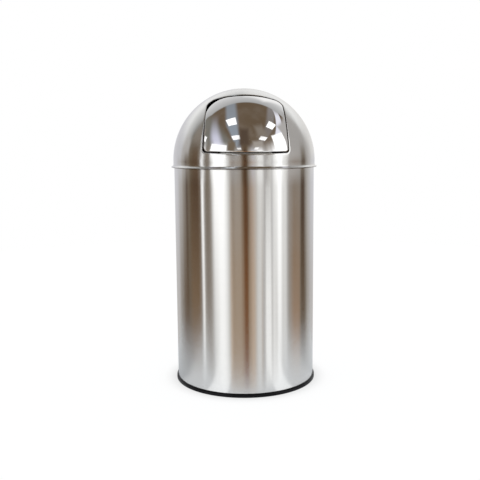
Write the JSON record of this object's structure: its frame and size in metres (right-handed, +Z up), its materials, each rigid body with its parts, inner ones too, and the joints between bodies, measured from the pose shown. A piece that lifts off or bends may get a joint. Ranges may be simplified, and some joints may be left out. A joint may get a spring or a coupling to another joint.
{
  "type": "dome top waste receptacle",
  "caption": "Round steel waste bin with a lift-off dome lid, a sprung push flap that swings inwards, a lift-out bucket with a bail, and a foot ring.",
  "frame": {"origin": "centre of the foot ring's underside, on the floor", "axes": "+Z up along the tube's axis, -Y towards the flap, +X to the right of someone who faces the flap"},
  "size_m": [0.3648, 0.3648, 0.734],
  "materials": {
    "body_steel": "satin stainless steel, brushed round the tube, so reflections draw out into upright bands",
    "dome_steel": "satin stainless steel, spun and brushed round the dome",
    "mirror_steel": "stainless steel polished to a mirror",
    "galvanised_steel": "galvanised sheet with a fine spangle",
    "zinc_plate": "zinc-plated steel, dull",
    "bright_steel": "bright drawn steel rod",
    "spring_steel": "oiled spring wire",
    "aluminium": "plain aluminium rivets",
    "black_gloss_plastic": "moulded black plastic with a slight sheen",
    "black_plastic": "moulded black plastic",
    "nylon": "natural nylon",
    "rubber": "black rubber"
  },
  "bodies": {
    "body": {"body_shell": "body_steel", "base_plate": "galvanised_steel", "base_ring": "black_gloss_plastic"},
    "bucket": {"bucket_shell": "galvanised_steel", "bucket_bottom": "galvanised_steel", "rim_wire": "galvanised_steel", "bail_lug_left": "zinc_plate", "bail_lug_right": "zinc_plate", "lug_rivets": "aluminium"},
    "bail": {"bail_wire": "zinc_plate", "bail_grip": "black_plastic"},
    "lid": {"dome_shell": "dome_steel", "lid_collar": "dome_steel", "hinge_bracket_left": "zinc_plate", "hinge_bracket_right": "zinc_plate", "hinge_axle": "bright_steel", "axle_cap_left": "black_plastic", "axle_cap_right": "black_plastic", "torsion_spring_left": "spring_steel", "torsion_spring_right": "spring_steel"},
    "flap": {"flap_skin": "mirror_steel", "flap_hinge_plate": "zinc_plate", "flap_bush_left": "nylon", "flap_bush_right": "nylon", "flap_stop_bar": "zinc_plate", "stop_buffer_left": "rubber", "stop_buffer_right": "rubber"}
  },
  "joints": [
    {"name": "bucket_lift", "type": "slide", "parent": "body", "child": "bucket", "axis": [0, 0, 1], "range_m": [0, 0.56]},
    {"name": "lid_lift", "type": "slide", "parent": "bucket", "child": "lid", "axis": [0, 0, 1], "range_m": [0, 0.3]},
    {"name": "flap_swing", "type": "hinge", "parent": "lid", "child": "flap", "pos_m": [0, -0.07075, 0.68813], "axis": [1, 0, 0], "range_deg": [0, 70], "stiffness_Nm_per_rad": 0.27, "springref_deg": -80.21, "deforming": ["torsion_spring_left", "torsion_spring_right"]},
    {"name": "bail_swing", "type": "hinge", "parent": "bucket", "child": "bail", "pos_m": [0, 0, 0.512], "axis": [1, 0, 0], "range_deg": [0, 177]}
  ]
}
